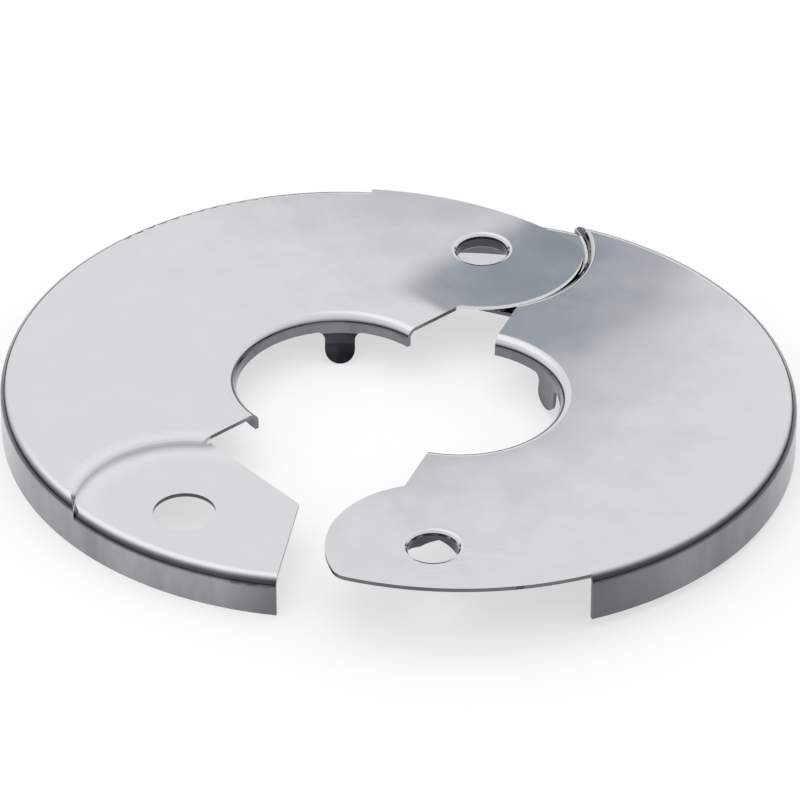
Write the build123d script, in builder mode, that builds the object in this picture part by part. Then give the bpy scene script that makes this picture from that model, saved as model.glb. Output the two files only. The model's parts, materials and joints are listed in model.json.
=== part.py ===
from build123d import *
import os
from math import cos, degrees, radians, sin, sqrt, tan

# Hinged floor and ceiling plate: two pressed steel halves that swing on a clinched collar.
# The left half lies at x < 0 with its split line along Y. The origin is on its bore axis, at the floor.

# Sheet and overall size, in mm and degrees
sheet = 0.45
outer_radius = 36.5
plate_height = 5.6
rim_bend = 1.3

# Bore with its drawn flange
bore_radius = 11.0
bore_bend = 1.2
flange_drop = 2.1

# Split line: how far each edge stands back from the bore axis
tongue_edge_back = 1.0
landing_edge_back = 0.1

# Pivot places, in from the rim: the tongue's collar at one end of a half, the landing's hole at the other
pivot_inset = 7.75
pivot_lag = 15.5

# Tongue that laps over the other half
tongue_radius = 11.3
tongue_inset = 0.3
tongue_corner = 2.2
skirt_start = 43.3

# Landing that is joggled down under the other half's tongue
landing_hole_radius = 3.35
landing_inset = 17.7
landing_end = 39.5
joggle_drop = 0.95
joggle_clearance = 0.4
joggle_inner_bend = 0.15

# Spring finger under each bore flange, turned from the middle of the half and leaning in over the bore
left_finger_turn = -42.0
left_finger_lean = 21.0
right_finger_turn = 49.0
right_finger_lean = 4.0
finger_width = 3.3
finger_foot_gap = 0.05
finger_root_round = 0.9
finger_knee_bend = 0.8
finger_thinning = 0.02

# Collars drawn in the tongues: the hinge is clinched, the latch is cut into petals
collar_bend = 0.55
hinge_clearance = 0.08
hinge_play = 0.3
lip_bend = 0.6
lip_width = 0.4
latch_clearance = 0.22
petal_count = 4
petal_depth = 2.1
petal_root_depth = 1.1
petal_tip_width = 0.6
petal_turn = 51.0

# Pose: the right half stands open, and its latch end stands a little proud
swing_open = 28.0
proud_angle = 1.2
proud_heading = 25.0

# Small bends are made of this many flats, and drawn-on features run this far into their sheet
bend_steps = 3
overlap = 0.5

# Worked out from the sizes above
margin = 2.0
wide = 2 * outer_radius
pivot_radius = outer_radius - pivot_inset
boss_x = -pivot_radius * sin(radians(pivot_lag))
boss_y = pivot_radius * cos(radians(pivot_lag))
landing_top = plate_height - joggle_drop
flange_bottom = plate_height - flange_drop
joggle_foot_radius = tongue_radius + joggle_clearance
joggle_brow_radius = joggle_foot_radius + 2 * joggle_inner_bend + sheet
inside_flat = 2 - sqrt(2)
tongue_reach = outer_radius - tongue_inset
tongue_root = outer_radius - rim_bend - overlap
proud_low = (outer_radius - pivot_radius * cos(radians(proud_heading))) * sin(radians(proud_angle))
hinge_wall = landing_hole_radius - hinge_clearance
latch_wall = landing_hole_radius - latch_clearance
lip_top = landing_top - sheet + proud_low - hinge_play
hinge_height = landing_top - sheet / 2


def bend_points(centre_x, centre_z, radius, first, last):
    # places round a small bend in a section
    turns = [radians(first + (last - first) * step / bend_steps) for step in range(bend_steps + 1)]
    return [(centre_x + radius * cos(turn), centre_z + radius * sin(turn)) for turn in turns]


def block_section(inner, top, depth):
    # section of a ring-shaped block, from its inner wall to the skirt, at this depth in the sheet
    rim = outer_radius - depth
    with Locations((inner, -margin)):
        Rectangle(rim - inner, top - depth + margin, align=(Align.MIN, Align.MIN))


def high_block(depth):
    # block under the plate's face; the sheet's inside has flats where its outside has bends
    inner = bore_radius + depth
    with BuildPart() as block:
        with BuildSketch(Plane.XZ) as section:
            block_section(inner, plate_height, depth)
            if depth == 0:
                fillet(section.vertices().group_by(Axis.X)[-1].sort_by(Axis.Y)[-1], radius=rim_bend)
                fillet(section.vertices().group_by(Axis.X)[0].sort_by(Axis.Y)[-1], radius=bore_bend)
            else:
                rim_corner = section.vertices().group_by(Axis.X)[-1].sort_by(Axis.Y)[-1]
                chamfer(rim_corner, length=inside_flat * (rim_bend - depth))
                bore_corner = section.vertices().group_by(Axis.X)[0].sort_by(Axis.Y)[-1]
                chamfer(bore_corner, length=inside_flat * (bore_bend - depth))
        revolve(axis=Axis.Z)
    return block.part


def low_block(depth):
    # block under the landing's face
    inner = bore_radius + bore_bend
    with BuildPart() as block:
        with BuildSketch(Plane.XZ) as section:
            block_section(inner, landing_top, depth)
            rim_corner = section.vertices().group_by(Axis.X)[-1].sort_by(Axis.Y)[-1]
            if depth == 0:
                fillet(rim_corner, radius=rim_bend)
            else:
                chamfer(rim_corner, length=inside_flat * (rim_bend - depth))
        revolve(axis=Axis.Z)
    return block.part


def joggle_pocket(depth):
    # round pocket with the joggle's double bend as its wall
    foot = bend_points(joggle_foot_radius, landing_top + joggle_inner_bend,
                       joggle_inner_bend + depth, -90, 0)
    brow = bend_points(joggle_brow_radius, plate_height - joggle_inner_bend - sheet,
                       joggle_inner_bend + sheet - depth, 180, 90)
    with BuildPart() as pocket:
        with BuildSketch(Plane.XZ):
            with BuildLine():
                Polyline(
                    (0, -2 * margin),
                    (joggle_foot_radius, -2 * margin),
                    *foot,
                    *brow,
                    (joggle_brow_radius, plate_height + margin),
                    (0, plate_height + margin),
                    close=True,
                )
            make_face()
        revolve(axis=Axis.Z)
    return pocket.part


def pressing(depth):
    # plate and joggled landing as one block, at this depth in the sheet
    high = high_block(depth)
    low = low_block(depth)
    pocket = joggle_pocket(depth)
    with BuildPart() as block:
        add(high)
        with Locations((-boss_x, -boss_y, 0)):
            add(pocket, mode=Mode.SUBTRACT)
        with Locations((-landing_edge_back, 0, 0)):
            Box(wide, wide, wide, align=(Align.MIN, Align.MAX, Align.CENTER), mode=Mode.SUBTRACT)
        add(low)
    return block.part


def spring_finger(turn, lean):
    # tab of the flange with a round end, a little thinned on both faces and bent in to press on the pipe
    angle = radians(180 + turn)
    thickness = sheet - 2 * finger_thinning
    face = bore_radius + finger_thinning
    tip_round = finger_width / 2
    root_half = tip_round + finger_root_round
    root_top = flange_bottom + overlap
    half_span = degrees(root_half / bore_radius) + margin
    start = angle - radians(half_span)
    side = Plane((0, 0, 0), x_dir=(cos(start), sin(start), 0), z_dir=(sin(start), -cos(start), 0))
    front = Plane((0, 0, 0), x_dir=(-sin(angle), cos(angle), 0), z_dir=(cos(angle), sin(angle), 0))
    across = thickness * Vector(cos(radians(lean)), -sin(radians(lean)))
    with BuildPart() as finger:
        with BuildSketch(side):
            with BuildLine():
                near = Line((face, root_top), (face, flange_bottom))
                bend = JernArc(near @ 1, (0, -1), finger_knee_bend, -lean)
                blade = PolarLine(bend @ 1, flange_bottom / cos(radians(lean)), direction=bend % 1)
                foot = Line(blade @ 1, blade @ 1 + across)
                rise = Line(foot @ 1, bend @ 1 + across)
                bend_far = JernArc(rise @ 1, rise % 1, finger_knee_bend + thickness, lean)
                far = Line(bend_far @ 1, near @ 0 + Vector(thickness, 0))
                Line(far @ 1, near @ 0)
            make_face()
        revolve(axis=Axis.Z, revolution_arc=2 * half_span)
        with BuildSketch(front):
            with BuildLine():
                left_top = Line((-root_half, root_top), (-root_half, flange_bottom))
                left_root = JernArc(left_top @ 1, (1, 0), finger_root_round, -90)
                left_side = Line(left_root @ 1, (-tip_round, finger_foot_gap + tip_round))
                tip = JernArc(left_side @ 1, (0, -1), tip_round, 180)
                right_side = Line(tip @ 1, (tip_round, flange_bottom - finger_root_round))
                right_root = JernArc(right_side @ 1, (0, 1), finger_root_round, -90)
                right_top = Line(right_root @ 1, (root_half, root_top))
                Line(right_top @ 1, left_top @ 0)
            make_face()
        extrude(amount=bore_radius + margin, mode=Mode.INTERSECT)
    return finger.part


def half_stamping(finger_turn, finger_lean):
    # one half as pressed and trimmed, with its spring finger and landing hole
    outside = pressing(0)
    inside = pressing(sheet)
    finger = spring_finger(finger_turn, finger_lean)
    tip_x = landing_inset * tan(radians(landing_end))
    with BuildSketch() as plan:
        with Locations((-tongue_edge_back, 0)):
            Rectangle(wide, boss_y, align=(Align.MAX, Align.MIN))
        with Locations((boss_x, 0)):
            Rectangle(wide, wide, align=(Align.MAX, Align.MIN))
        with Locations((-landing_edge_back, 0)):
            Rectangle(wide, wide, align=(Align.MAX, Align.MAX))
        with Locations((boss_x, boss_y)):
            Circle(tongue_radius)
        with BuildLine():
            Polyline(
                (-landing_edge_back, -landing_inset),
                (tip_x, -landing_inset),
                (wide * sin(radians(landing_end)), -wide * cos(radians(landing_end))),
                (-landing_edge_back, -wide),
                close=True,
            )
        make_face()
    with BuildSketch() as open_rim:
        with BuildLine():
            Polyline(
                (0, 0),
                (-wide * sin(radians(skirt_start)), wide * cos(radians(skirt_start))),
                (wide * sin(radians(skirt_start)), wide * cos(radians(skirt_start))),
                close=True,
            )
        make_face()
        Circle(tongue_root, mode=Mode.SUBTRACT)
    with BuildSketch() as tongue:
        add(plan.sketch)
        Circle(tongue_reach, mode=Mode.INTERSECT)
        fillet(tongue.vertices().sort_by_distance((0, tongue_reach))[0], radius=tongue_corner)
        add(open_rim.sketch, mode=Mode.INTERSECT)
    with BuildPart() as half:
        add(outside)
        add(inside, mode=Mode.SUBTRACT)
        with BuildSketch(Plane.XY.offset(-margin)):
            Circle(bore_radius + bore_bend)
        extrude(amount=flange_bottom + margin, mode=Mode.SUBTRACT)
        with BuildSketch():
            add(plan.sketch)
        extrude(amount=plate_height + margin, mode=Mode.INTERSECT)
        with BuildSketch():
            add(open_rim.sketch)
        extrude(amount=plate_height + margin, both=True, mode=Mode.SUBTRACT)
        with BuildSketch(Plane.XY.offset(plate_height - sheet)):
            add(tongue.sketch)
        extrude(amount=sheet)
        with BuildSketch():
            with Locations((-boss_x, -boss_y)):
                Circle(landing_hole_radius)
        extrude(amount=plate_height + margin, both=True, mode=Mode.SUBTRACT)
        add(finger)
    return half.part


def hinge_collar():
    # collar drawn down through the other half's landing, with its lip rolled out under it
    inner = hinge_wall - sheet
    roll_x = inner + lip_bend
    roll_z = lip_top - sheet + lip_bend
    with BuildPart() as collar:
        with BuildSketch(Plane.XZ):
            with BuildLine():
                Polyline(
                    (inner + collar_bend + overlap, plate_height),
                    *bend_points(inner + collar_bend, plate_height - collar_bend, collar_bend, 90, 180),
                    *bend_points(roll_x, roll_z, lip_bend, 180, 270),
                    (roll_x + lip_width, lip_top - sheet),
                    (roll_x + lip_width, lip_top),
                    (roll_x, lip_top),
                    (hinge_wall, roll_z),
                    (hinge_wall, plate_height - sheet),
                    (inner + collar_bend + overlap, plate_height - sheet),
                    close=True,
                )
            make_face()
        revolve(axis=Axis.Z)
    return collar.part


def latch_collar():
    # collar pierced and drawn down, its lower edge left as petals that snap into the landing hole
    inner = latch_wall - sheet
    pitch = 360 / petal_count
    notch_half = latch_wall * tan(radians(pitch / 2)) - petal_tip_width / 2
    with BuildPart() as collar:
        with BuildSketch(Plane.XZ):
            with BuildLine():
                Polyline(
                    (inner + collar_bend + overlap, plate_height),
                    *bend_points(inner + collar_bend, plate_height - collar_bend, collar_bend, 90, 180),
                    (inner, plate_height - petal_depth),
                    (latch_wall, plate_height - petal_depth),
                    (latch_wall, plate_height - sheet),
                    (inner + collar_bend + overlap, plate_height - sheet),
                    close=True,
                )
            make_face()
        revolve(axis=Axis.Z)
        for petal in range(petal_count):
            angle = radians(petal_turn + (petal + 0.5) * pitch)
            outward = Plane((0, 0, plate_height), x_dir=(-sin(angle), cos(angle), 0),
                            z_dir=(cos(angle), sin(angle), 0))
            with BuildSketch(outward):
                with BuildLine():
                    Polyline(
                        (0, -petal_root_depth),
                        (-notch_half, -petal_depth),
                        (-notch_half, -petal_depth - margin),
                        (notch_half, -petal_depth - margin),
                        (notch_half, -petal_depth),
                        close=True,
                    )
                make_face()
            extrude(amount=landing_hole_radius, mode=Mode.SUBTRACT)
    return collar.part


left_blank = half_stamping(left_finger_turn, left_finger_lean)
right_blank = half_stamping(right_finger_turn, right_finger_lean)
clinch = hinge_collar()
snap = latch_collar()

with BuildPart() as left_half_plate:
    add(left_blank)
    with Locations((boss_x, boss_y, 0)):
        Cylinder(hinge_wall - sheet + collar_bend + overlap, wide, mode=Mode.SUBTRACT)
        add(clinch)

# The right half is turned to face the left one, then tipped and swung about the hinge
heading = 270 + pivot_lag - proud_heading
tipped = Rotation(0, 0, heading) * Rotation(0, -proud_angle, 0) * Rotation(0, 0, -heading)
place = (Location((boss_x, boss_y, hinge_height + proud_low)) * Rotation(0, 0, swing_open) * tipped
         * Location((-boss_x, -boss_y, -hinge_height)) * Rotation(0, 0, 180))

with BuildPart() as right_stamping:
    add(right_blank)
    with Locations((boss_x, boss_y, 0)):
        Cylinder(latch_wall - sheet + collar_bend + overlap, wide, mode=Mode.SUBTRACT)
        add(snap)

with BuildPart() as right_half_plate:
    with Locations(place):
        add(right_stamping.part)

left_half_plate.part.label = "left_half_plate"
right_half_plate.part.label = "right_half_plate"
os.makedirs("parts", exist_ok=True)
export_step(left_half_plate.part, "parts/left_half_plate.step")
export_step(right_half_plate.part, "parts/right_half_plate.step")
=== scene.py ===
import json
import math
import bpy
from mathutils import Matrix, Vector

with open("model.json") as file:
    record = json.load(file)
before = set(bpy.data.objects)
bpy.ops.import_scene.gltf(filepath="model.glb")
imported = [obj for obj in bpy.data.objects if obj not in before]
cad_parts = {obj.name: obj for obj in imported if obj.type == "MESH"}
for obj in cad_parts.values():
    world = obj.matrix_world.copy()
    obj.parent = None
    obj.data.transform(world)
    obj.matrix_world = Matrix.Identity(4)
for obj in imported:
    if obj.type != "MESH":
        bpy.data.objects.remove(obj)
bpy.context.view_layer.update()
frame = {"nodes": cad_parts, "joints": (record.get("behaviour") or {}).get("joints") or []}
scene = bpy.context.scene
print("frame loaded:", ", ".join(frame["nodes"]))


# bearing and height in degrees to a unit vector, bearing 0 along -Y and 90 along +X
def heading(bearing, height):
    around = math.radians(bearing)
    up = math.radians(height)
    return Vector((math.sin(around) * math.cos(up), -math.cos(around) * math.cos(up), math.sin(up)))


# camera, at the angle that the rims and the bore give in the photo
shot = dict(azimuth=49.43, elevation=35.31, roll=0.45, focalPixels=6922, frameWidth=800,
            distance=0.750, aim=(0.00550, 0.00425, 0.0030), sensor=36.0, clipStart=0.01)
towardCamera = heading(shot["azimuth"], shot["elevation"])
levelRight = heading(shot["azimuth"] + 90, 0)
levelUp = towardCamera.cross(levelRight)
rollCos = math.cos(math.radians(shot["roll"]))
rollSin = math.sin(math.radians(shot["roll"]))
camRight = rollCos * levelRight - rollSin * levelUp
camUp = rollSin * levelRight + rollCos * levelUp
camData = bpy.data.cameras.new("photoCamera")
camData.sensor_width = shot["sensor"]
camData.lens = shot["sensor"] * shot["focalPixels"] / shot["frameWidth"]
camData.clip_start = shot["clipStart"]
camera = bpy.data.objects.new("photoCamera", camData)
scene.collection.objects.link(camera)
camTurn = Matrix((camRight, camUp, towardCamera)).transposed().to_4x4()
camera.matrix_world = Matrix.Translation(Vector(shot["aim"]) + towardCamera * shot["distance"]) @ camTurn
scene.camera = camera
print("camera set, lens", round(camData.lens, 1))


nodeGrid = dict(perRow=10, across=220, down=-340)  # nodes stand in rows, in the order they are made


# a new node; an input given a socket is linked to it, any other input is set
def addNode(tree, kind, inputs=None, **settings):
    row, column = divmod(len(tree.nodes), nodeGrid["perRow"])
    node = tree.nodes.new(kind)
    node.location = (column * nodeGrid["across"], row * nodeGrid["down"])
    for name, value in settings.items():
        setattr(node, name, value)
    for name, value in (inputs or {}).items():
        if isinstance(value, bpy.types.NodeSocket):
            tree.links.new(value, node.inputs[name])
        else:
            node.inputs[name].default_value = value
    return node


# takes a value from one level to the other across a span, straight or soft
def fade(value, span, levels=(0, 1), soft=False):
    node = addNode(value.id_data, "ShaderNodeMapRange",
                   {"Value": value, "From Min": span[0], "From Max": span[1],
                    "To Min": levels[0], "To Max": levels[1]},
                   interpolation_type="SMOOTHSTEP" if soft else "LINEAR")
    return node.outputs["Result"]


def mixTone(factor, under, over):
    node = addNode(factor.id_data, "ShaderNodeMix", {"Factor": factor, "A": under, "B": over},
                   data_type="RGBA")
    return node.outputs["Result"]


# hinge, and the right half's bore axis, swung open about it from the left half's
hinge = frame["joints"][0]
pivot = Vector(hinge["pos_m"])
openAngle = -math.radians(hinge["range_deg"][0])
rightCentre = pivot + Matrix.Rotation(openAngle, 3, "Z") @ Vector((-pivot.x, -pivot.y, 0))


# finish shared by both halves, in a half's own frame: bore axis at the origin, collar at the pivot
finishGroup = bpy.data.node_groups.new("plateFinish", "ShaderNodeTree")
for socketName in ("Vector", "Normal"):
    finishGroup.interface.new_socket(name=socketName, in_out="INPUT", socket_type="NodeSocketVector")
for socketName in ("Buff Angle", "Haze", "Wall Finish And Shade Level", "Step Blend", "Step Matt", "Step Painted Shade",
                   "Brow Roll", "Edge Lean", "Tongue Spring"):
    finishGroup.interface.new_socket(name=socketName, in_out="INPUT", socket_type="NodeSocketFloat")
for socketName, socketKind in (("Color", "NodeSocketColor"), ("Roughness", "NodeSocketFloat"),
                               ("Height", "NodeSocketFloat"), ("Normal", "NodeSocketVector"),
                               ("Bright", "NodeSocketFloat")):
    finishGroup.interface.new_socket(name=socketName, in_out="OUTPUT", socket_type=socketKind)
given = addNode(finishGroup, "NodeGroupInput").outputs


# short forms for the group's nodes, each gives back its output
def maths(operation, *values):
    node = addNode(finishGroup, "ShaderNodeMath", dict(enumerate(values)), operation=operation)
    return node.outputs["Value"]


def vectors(operation, *values):
    node = addNode(finishGroup, "ShaderNodeVectorMath", dict(enumerate(values)), operation=operation)
    return node.outputs["Value" if operation in ("LENGTH", "DOT_PRODUCT") else "Vector"]


def flat(vector):
    return vectors("MULTIPLY", vector, (1, 1, 0))


def parts(vector):
    return addNode(finishGroup, "ShaderNodeSeparateXYZ", {"Vector": vector}).outputs


def noise(place, scale, detail, roughness=0.5):
    node = addNode(finishGroup, "ShaderNodeTexNoise",
                   {"Vector": place, "Scale": scale, "Detail": detail, "Roughness": roughness})
    return node.outputs["Fac"]


def allOf(share, *masks):
    for mask in masks:
        share = maths("MULTIPLY", share, mask)
    return share


# places and directions that the effects below share; slopeUp is the upward part of the normal
spot = parts(given["Vector"])
slopeUp = parts(given["Normal"])["Z"]
boreRadius = vectors("LENGTH", flat(given["Vector"]))
fromLanding = vectors("SUBTRACT", given["Vector"], (-pivot.x, -pivot.y, 0))
flatLanding = flat(fromLanding)
landingRadius = vectors("LENGTH", flatLanding)
fromCollar = vectors("SUBTRACT", given["Vector"], (pivot.x, pivot.y, 0))
collarRadius = vectors("LENGTH", flat(fromCollar))

# buffing marks: long thin streaks, turned by the angle given, that only show in patches
streakLook = dict(stretch=(260, 9000, 900), detail=3, shown=(0.58, 0.76), rough=0.06, depth=-0.0003,
                  patchScale=95, patchDetail=2, patchShown=(0.46, 0.66))
buffTurn = addNode(finishGroup, "ShaderNodeVectorRotate",
                   {"Vector": given["Vector"], "Angle": given["Buff Angle"]}, rotation_type="Z_AXIS")
streakPlace = vectors("MULTIPLY", buffTurn.outputs["Vector"], streakLook["stretch"])
streaks = noise(streakPlace, 1, streakLook["detail"])
streakPatch = noise(given["Vector"], streakLook["patchScale"], streakLook["patchDetail"])
streakMask = allOf(fade(streaks, streakLook["shown"]), fade(streakPatch, streakLook["patchShown"]))

# haze in the roughness
hazeLook = dict(scale=210, detail=5, roughness=0.6, seen=(0.35, 0.75), spread=(0.75, 1.35))
haze = noise(given["Vector"], hazeLook["scale"], hazeLook["detail"], hazeLook["roughness"])
hazeLevel = allOf(fade(haze, hazeLook["seen"], hazeLook["spread"]), given["Haze"])
markRough = maths("MULTIPLY_ADD", streakMask, streakLook["rough"], hazeLevel)

# step down to the landing: its face is shaded as if it leaned up towards the flat
stepLook = dict(start=(0.01145, 0.01165), end=(0.01290, 0.01245), facing=(0.001, -0.001),
                rim=(0.0356, 0.0346))
stepStart = fade(landingRadius, stepLook["start"])
stepEnd = fade(landingRadius, stepLook["end"])
facesLanding = fade(vectors("DOT_PRODUCT", flatLanding, given["Normal"]), stepLook["facing"])
insideRim = fade(boreRadius, stepLook["rim"])
stepShare = allOf(given["Step Blend"], stepStart, stepEnd, facesLanding, insideRim)

# brow of the step: its normals turn towards the landing over a wider strip than the bend
browLook = dict(reach=(0.0127, 0.0122), upper=(0.5, 0.8))
browFade = fade(landingRadius, browLook["reach"], soft=True)
browUpper = fade(slopeUp, browLook["upper"])
browShare = allOf(given["Brow Roll"], browFade, browUpper, stepStart, insideRim)
browTurn = addNode(finishGroup, "ShaderNodeVectorMath",
                   {0: vectors("NORMALIZE", flatLanding), "Scale": browShare}, operation="SCALE")
rolled = vectors("SUBTRACT", given["Normal"], browTurn.outputs["Vector"])

# cut edge of the tongue: shaded as if it were rounded
tongueLook = dict(edge=(0.0110, 0.0112), stop=(0.0120, 0.0116), wall=(0.7, 0.4),
                  springStart=0.005, springSide=(0.009, 0.017))
tongueEdge = fade(collarRadius, tongueLook["edge"])
tongueStop = fade(collarRadius, tongueLook["stop"])
tongueWall = fade(slopeUp, tongueLook["wall"])
edgeShare = allOf(given["Edge Lean"], tongueEdge, tongueStop, tongueWall)
leaned = addNode(finishGroup, "ShaderNodeMix",
                 {"Factor": maths("MAXIMUM", stepShare, edgeShare), "A": rolled, "B": (0, 0, 1)},
                 data_type="VECTOR")
softNormal = vectors("NORMALIZE", leaned.outputs["Result"])
softUp = parts(softNormal)["Z"]

# foot of the step: matt instead of mirror bright, on the side towards the middle of the half
mattLook = dict(start=(0.0085, 0.0112), end=(0.0142, 0.0124), facing=(-0.2, 0), side=(-0.001, -0.005))
mattStart = fade(landingRadius, mattLook["start"], soft=True)
mattEnd = fade(landingRadius, mattLook["end"], soft=True)
mattFacing = fade(slopeUp, mattLook["facing"])
mattSide = fade(parts(fromLanding)["X"], mattLook["side"])
mattShare = allOf(given["Step Matt"], mattStart, mattEnd, mattFacing, mattSide, insideRim)
brightShare = maths("SUBTRACT", 1, mattShare)

# upper faces are polished bright; walls and underside are duller, and their darker colour is partly that
# finish and partly painted shade; the dull part starts higher at the rim, which paints a dark shade line
# over the rim bend
buffAndShadeLook = dict(rim=(0.0346, 0.0354), dullAndShadedBelow=(0.10, 0.60), brightAbove=(0.55, 0.985), rough=(0.11, 0))
dullAndShadedBelow = fade(boreRadius, buffAndShadeLook["rim"], buffAndShadeLook["dullAndShadedBelow"])
brightAbove = fade(boreRadius, buffAndShadeLook["rim"], buffAndShadeLook["brightAbove"])
buffAndShadeShare = fade(softUp, (dullAndShadedBelow, brightAbove), soft=True)
allRough = maths("ADD", markRough, fade(buffAndShadeShare, (0, 1), buffAndShadeLook["rough"]))

# walls: cloudy grey, darker at the skirt's two ends as painted shade, darkest on the cut edges between
# bore and rim; the walls' level is partly a duller finish and partly painted shade for the shaded floor
# they mirror
wallLook = dict(cloudStretch=(130, 130, 40), cloudDetail=4, cloudRoughness=0.62,
                cloudSeen=(0.34, 0.62), cloudLevel=(0.58, 1),
                landingEndShade=(0.015, 0.0245), landingLevel=(1, 0.33),
                tongueEndShade=(0.018, 0.026), tongueLevel=(1, 0.5),
                bore=(0.0125, 0.0145), boreLevel=0.36, skirt=(0.0330, 0.0355), cutLevel=0.12,
                dark=(0.075, 0.080, 0.092, 1), light=(0.500, 0.504, 0.530, 1))
cloud = noise(vectors("MULTIPLY", given["Vector"], wallLook["cloudStretch"]), 1,
              wallLook["cloudDetail"], wallLook["cloudRoughness"])
cloudLevel = fade(cloud, wallLook["cloudSeen"], wallLook["cloudLevel"])
landingEndShade = fade(spot["X"], wallLook["landingEndShade"], wallLook["landingLevel"], soft=True)
tongueEndShade = fade(spot["Y"], wallLook["tongueEndShade"], wallLook["tongueLevel"], soft=True)
boreLevel = fade(boreRadius, wallLook["bore"], (wallLook["boreLevel"], wallLook["cutLevel"]))
skirtLevel = fade(boreRadius, wallLook["skirt"], (wallLook["cutLevel"], given["Wall Finish And Shade Level"]))
wallFinishAndShadeLevel = allOf(maths("MAXIMUM", boreLevel, skirtLevel), cloudLevel, landingEndShade, tongueEndShade)
wallFinishAndShadeTone = mixTone(wallFinishAndShadeLevel, wallLook["dark"], wallLook["light"])

# chrome: cool white metal, a trace greyer where it is hazed
chromeLook = dict(clear=(0.700, 0.706, 0.722, 1), hazed=(0.660, 0.664, 0.674, 1))
# painted shade: the walls' darker tone is mixed in wherever the normal turns away from up
plateTone = mixTone(buffAndShadeShare, wallFinishAndShadeTone, mixTone(haze, chromeLook["clear"], chromeLook["hazed"]))

# painted shade: dark lines painted round the rim's bend, thinner low on the bore's bend, on the finger
# that leans furthest over the bore, and on the wall of the step; they stand in for dark reflections and
# the shade in the gap
paintedLineLook = dict(start=(0.06, 0.30), rimStop=(0.93, 0.55), rim=(0.0348, 0.0354), rimLevel=0.85,
                boreStop=(0.66, 0.36), bore=(0.0132, 0.0127), boreLevel=0.7,
                finger=(0.01085, 0.01055), fingerLevel=0.92, stepWall=(0.985, 0.90),
                dark=(0.055, 0.058, 0.066, 1))
lineStart = fade(softUp, paintedLineLook["start"], soft=True)
rimPaintedShade = allOf(lineStart, fade(softUp, paintedLineLook["rimStop"], soft=True),
                fade(boreRadius, paintedLineLook["rim"], (0, paintedLineLook["rimLevel"])))
borePaintedShade = allOf(lineStart, fade(softUp, paintedLineLook["boreStop"], soft=True),
                 fade(boreRadius, paintedLineLook["bore"], (0, paintedLineLook["boreLevel"])))
fingerPaintedShade = fade(boreRadius, paintedLineLook["finger"], (0, paintedLineLook["fingerLevel"]))
stepPaintedShade = allOf(given["Step Painted Shade"], stepStart, stepEnd, facesLanding, insideRim,
                 fade(slopeUp, paintedLineLook["stepWall"]))
paintedShadeShare = rimPaintedShade
for shadeMask in (borePaintedShade, fingerPaintedShade, stepPaintedShade):
    paintedShadeShare = maths("MAXIMUM", paintedShadeShare, shadeMask)
shadePaintedTone = mixTone(paintedShadeShare, plateTone, paintedLineLook["dark"])

# height in millimetres: slow waviness of the sheet, the streaks, and the tongue sprung up past its collar
waveLook = dict(scale=70, detail=1, height=0.030)
wave = noise(given["Vector"], waveLook["scale"], waveLook["detail"])
waveHeight = maths("MULTIPLY", wave, waveLook["height"])
markHeight = maths("MULTIPLY_ADD", streakMask, streakLook["depth"], waveHeight)
pastCollar = maths("SMOOTH_MAX", maths("SUBTRACT", spot["X"], pivot.x), 0, tongueLook["springStart"])
tongueSide = fade(spot["Y"], tongueLook["springSide"], soft=True)
allHeight = maths("ADD", markHeight, allOf(pastCollar, tongueSide, given["Tongue Spring"]))

addNode(finishGroup, "NodeGroupOutput", {"Color": shadePaintedTone, "Roughness": allRough, "Height": allHeight,
                                         "Normal": softNormal, "Bright": brightShare})
print("finish group made")


# chrome of one half; centre and turn bring places and normals into the half's own frame
def plateMaterial(name, look):
    mat = bpy.data.materials.new(name)
    mat.use_nodes = True
    tree = mat.node_tree
    tree.nodes.clear()
    coords = addNode(tree, "ShaderNodeTexCoord").outputs
    local = addNode(tree, "ShaderNodeMapping",
                    {"Vector": coords["Object"], "Location": look["centre"],
                     "Rotation": (0, 0, look["turn"])}, vector_type="TEXTURE")
    localNormal = addNode(tree, "ShaderNodeVectorRotate",
                          {"Vector": coords["Normal"], "Angle": -look["turn"]}, rotation_type="Z_AXIS")
    finish = addNode(tree, "ShaderNodeGroup",
                     {"Vector": local.outputs["Vector"], "Normal": localNormal.outputs["Vector"],
                      "Buff Angle": math.radians(look["buffAngle"]), "Haze": look["haze"],
                      "Wall Finish And Shade Level": look["wallFinishAndShadeLevel"], "Step Blend": look["stepBlend"],
                      "Step Matt": look["stepMatt"], "Step Painted Shade": look["stepPaintedShade"],
                      "Brow Roll": look["browRoll"], "Edge Lean": look["edgeLean"],
                      "Tongue Spring": look["tongueSpring"]}, node_tree=finishGroup).outputs
    partNormal = addNode(tree, "ShaderNodeVectorRotate",
                         {"Vector": finish["Normal"], "Angle": look["turn"]}, rotation_type="Z_AXIS")
    worldNormal = addNode(tree, "ShaderNodeVectorTransform", {"Vector": partNormal.outputs["Vector"]},
                          vector_type="NORMAL", convert_from="OBJECT", convert_to="WORLD")
    bump = addNode(tree, "ShaderNodeBump", {"Height": finish["Height"], "Distance": look["heightUnit"],
                                            "Normal": worldNormal.outputs["Vector"]})
    metal = addNode(tree, "ShaderNodeBsdfPrincipled",
                    {"Base Color": finish["Color"], "Roughness": finish["Roughness"],
                     "Metallic": finish["Bright"], "Normal": bump.outputs["Normal"]})
    addNode(tree, "ShaderNodeOutputMaterial", {"Surface": metal.outputs["BSDF"]})
    return mat


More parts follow.
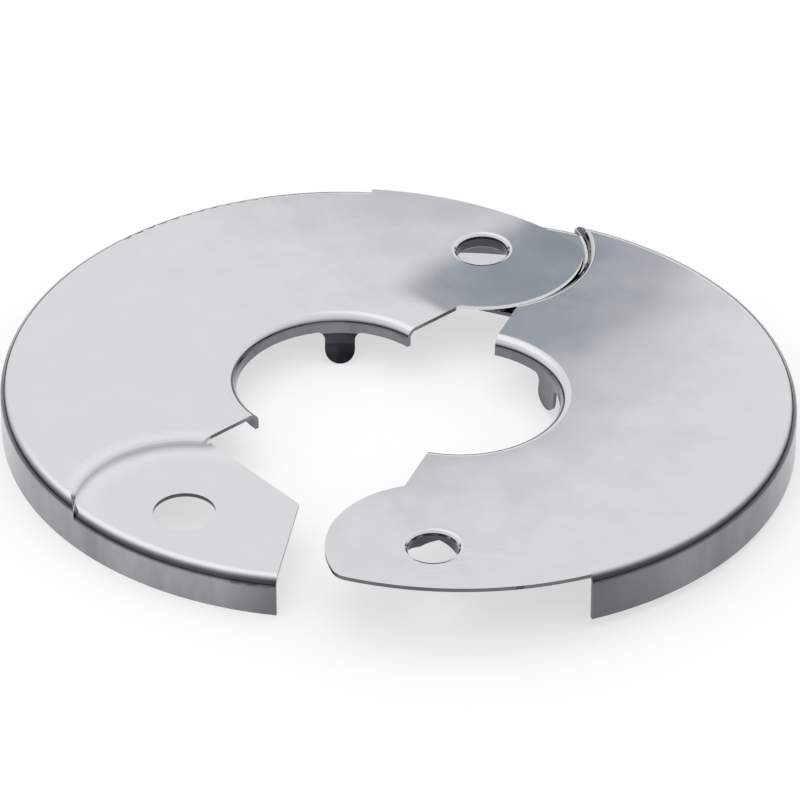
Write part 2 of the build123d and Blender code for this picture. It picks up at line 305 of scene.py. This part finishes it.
# painted shade: the right half's walls are set darker than the left's, and only the right half's step wall
# gets a painted shade line
leftPlate = dict(node="left_half_plate", centre=(0, 0, 0), turn=0, buffAngle=12, haze=0.07, wallFinishAndShadeLevel=0.74,
                 stepBlend=0.5, stepMatt=0.9, stepPaintedShade=0, browRoll=0, edgeLean=0.55, tongueSpring=21,
                 heightUnit=0.001)
rightPlate = dict(node="right_half_plate", centre=(rightCentre.x, rightCentre.y, 0),
                  turn=math.pi + openAngle, buffAngle=-25, haze=0.07, wallFinishAndShadeLevel=0.42,
                  stepBlend=0, stepMatt=0, stepPaintedShade=0.96, browRoll=0.3, edgeLean=0.2, tongueSpring=0,
                  heightUnit=0.001)
for plate in (leftPlate, rightPlate):
    half = frame["nodes"][plate["node"]]
    half.data.materials.clear()
    half.data.materials.append(plateMaterial(plate["node"] + "_chrome", plate))
print("chrome on both halves")


# floor: pale paper, part of it shown at plain white so that the shadow stays light
floorLook = dict(size=6.0, drop=0.00003, colour=(0.95, 0.95, 0.95, 1), white=0.62)
bpy.ops.object.select_all(action="DESELECT")
bpy.ops.mesh.primitive_plane_add(size=floorLook["size"], location=(0, 0, -floorLook["drop"]))
floor = bpy.context.object
floor.name = "studioFloor"
floorMat = bpy.data.materials.new("studioFloor")
floorMat.use_nodes = True
floorTree = floorMat.node_tree
floorTree.nodes.clear()
rays = addNode(floorTree, "ShaderNodeLightPath").outputs
cameraOrGlossy = addNode(floorTree, "ShaderNodeMath",
                         {0: rays["Is Camera Ray"], 1: rays["Is Glossy Ray"]}, operation="MAXIMUM")
shownRays = addNode(floorTree, "ShaderNodeMath",
                    {0: cameraOrGlossy.outputs["Value"], 1: rays["Is Transmission Ray"]},
                    operation="MAXIMUM")
whiteShare = addNode(floorTree, "ShaderNodeMath",
                     {0: shownRays.outputs["Value"], 1: floorLook["white"]}, operation="MULTIPLY")
paper = addNode(floorTree, "ShaderNodeBsdfDiffuse", {"Color": floorLook["colour"]})
plainWhite = addNode(floorTree, "ShaderNodeEmission")
floorMix = addNode(floorTree, "ShaderNodeMixShader",
                   {0: whiteShare.outputs["Value"], 1: paper.outputs["BSDF"],
                    2: plainWhite.outputs["Emission"]})
addNode(floorTree, "ShaderNodeOutputMaterial", {"Surface": floorMix.outputs["Shader"]})
floor.data.materials.append(floorMat)
print("floor made")


# room: grey all round, white on the far side, dark at the horizon, one brighter area high up and one small
# blue-grey patch low on the far side; heights and edges in degrees
farBearing = shot["azimuth"] + 180
room = dict(grey=(0.72, 0.73, 0.755, 1), strength=1,
            far=(1, 1, 1, 1), farHeight=50, farEdge=(104, 26),
            horizon=(0.05, 0.053, 0.06, 1), horizonHeight=(15, 4),
            glow=(1.25, 1.25, 1.25, 1), glowBearing=farBearing + 50, glowHeight=62, glowEdge=(32, 10),
            patch=(0.345, 0.385, 0.435, 1), patchBearing=farBearing - 0.75, patchHeight=31.0,
            patchEdge=(3.2, 1.8))
world = bpy.data.worlds.new("studioRoom")
world.use_nodes = True
scene.world = world
roomTree = world.node_tree
roomTree.nodes.clear()
lookOut = addNode(roomTree, "ShaderNodeTexCoord").outputs["Generated"]  # direction, in a world


# a soft round area of the room, 1 at its middle
def roomSpot(bearing, height, edge):
    facing = addNode(roomTree, "ShaderNodeVectorMath", {0: lookOut, 1: heading(bearing, height)},
                     operation="DOT_PRODUCT")
    return fade(facing.outputs["Value"], [math.cos(math.radians(angle)) for angle in edge], soft=True)


lookParts = addNode(roomTree, "ShaderNodeSeparateXYZ", {"Vector": lookOut})
lowSpan = [math.sin(math.radians(angle)) for angle in room["horizonHeight"]]
lowDown = fade(lookParts.outputs["Z"], lowSpan, soft=True)
farSpot = roomSpot(farBearing, room["farHeight"], room["farEdge"])
glowSpot = roomSpot(room["glowBearing"], room["glowHeight"], room["glowEdge"])
patchSpot = roomSpot(room["patchBearing"], room["patchHeight"], room["patchEdge"])
farTone = mixTone(farSpot, room["grey"], room["far"])
lowTone = mixTone(lowDown, farTone, room["horizon"])
glowTone = mixTone(glowSpot, lowTone, room["glow"])
roomTone = mixTone(patchSpot, glowTone, room["patch"])
roomLight = addNode(roomTree, "ShaderNodeBackground", {"Color": roomTone, "Strength": room["strength"]})
addNode(roomTree, "ShaderNodeOutputWorld", {"Surface": roomLight.outputs["Background"]})
print("room made")


# soft panels, aimed at the origin; angles in degrees, sizes in metres
farPanel = dict(name="farPanel", bearing=235, height=66, away=0.9, width=0.7, depth=0.5, watts=1.2)
keyPanel = dict(name="keyPanel", bearing=20, height=56, away=0.8, width=0.25, depth=0.25, watts=0.25)
for panel in (farPanel, keyPanel):
    lamp = bpy.data.lights.new(panel["name"], "AREA")
    lamp.shape = "RECTANGLE"
    lamp.size = panel["width"]
    lamp.size_y = panel["depth"]
    lamp.energy = panel["watts"]
    lampObject = bpy.data.objects.new(panel["name"], lamp)
    scene.collection.objects.link(lampObject)
    outward = heading(panel["bearing"], panel["height"])
    lampObject.location = outward * panel["away"]
    lampObject.rotation_mode = "QUATERNION"
    lampObject.rotation_quaternion = (-outward).to_track_quat("-Z", "Y")
    lampObject.visible_glossy = False  # the metal shows the room instead
print("panels made")

scene.view_settings.view_transform = "Standard"
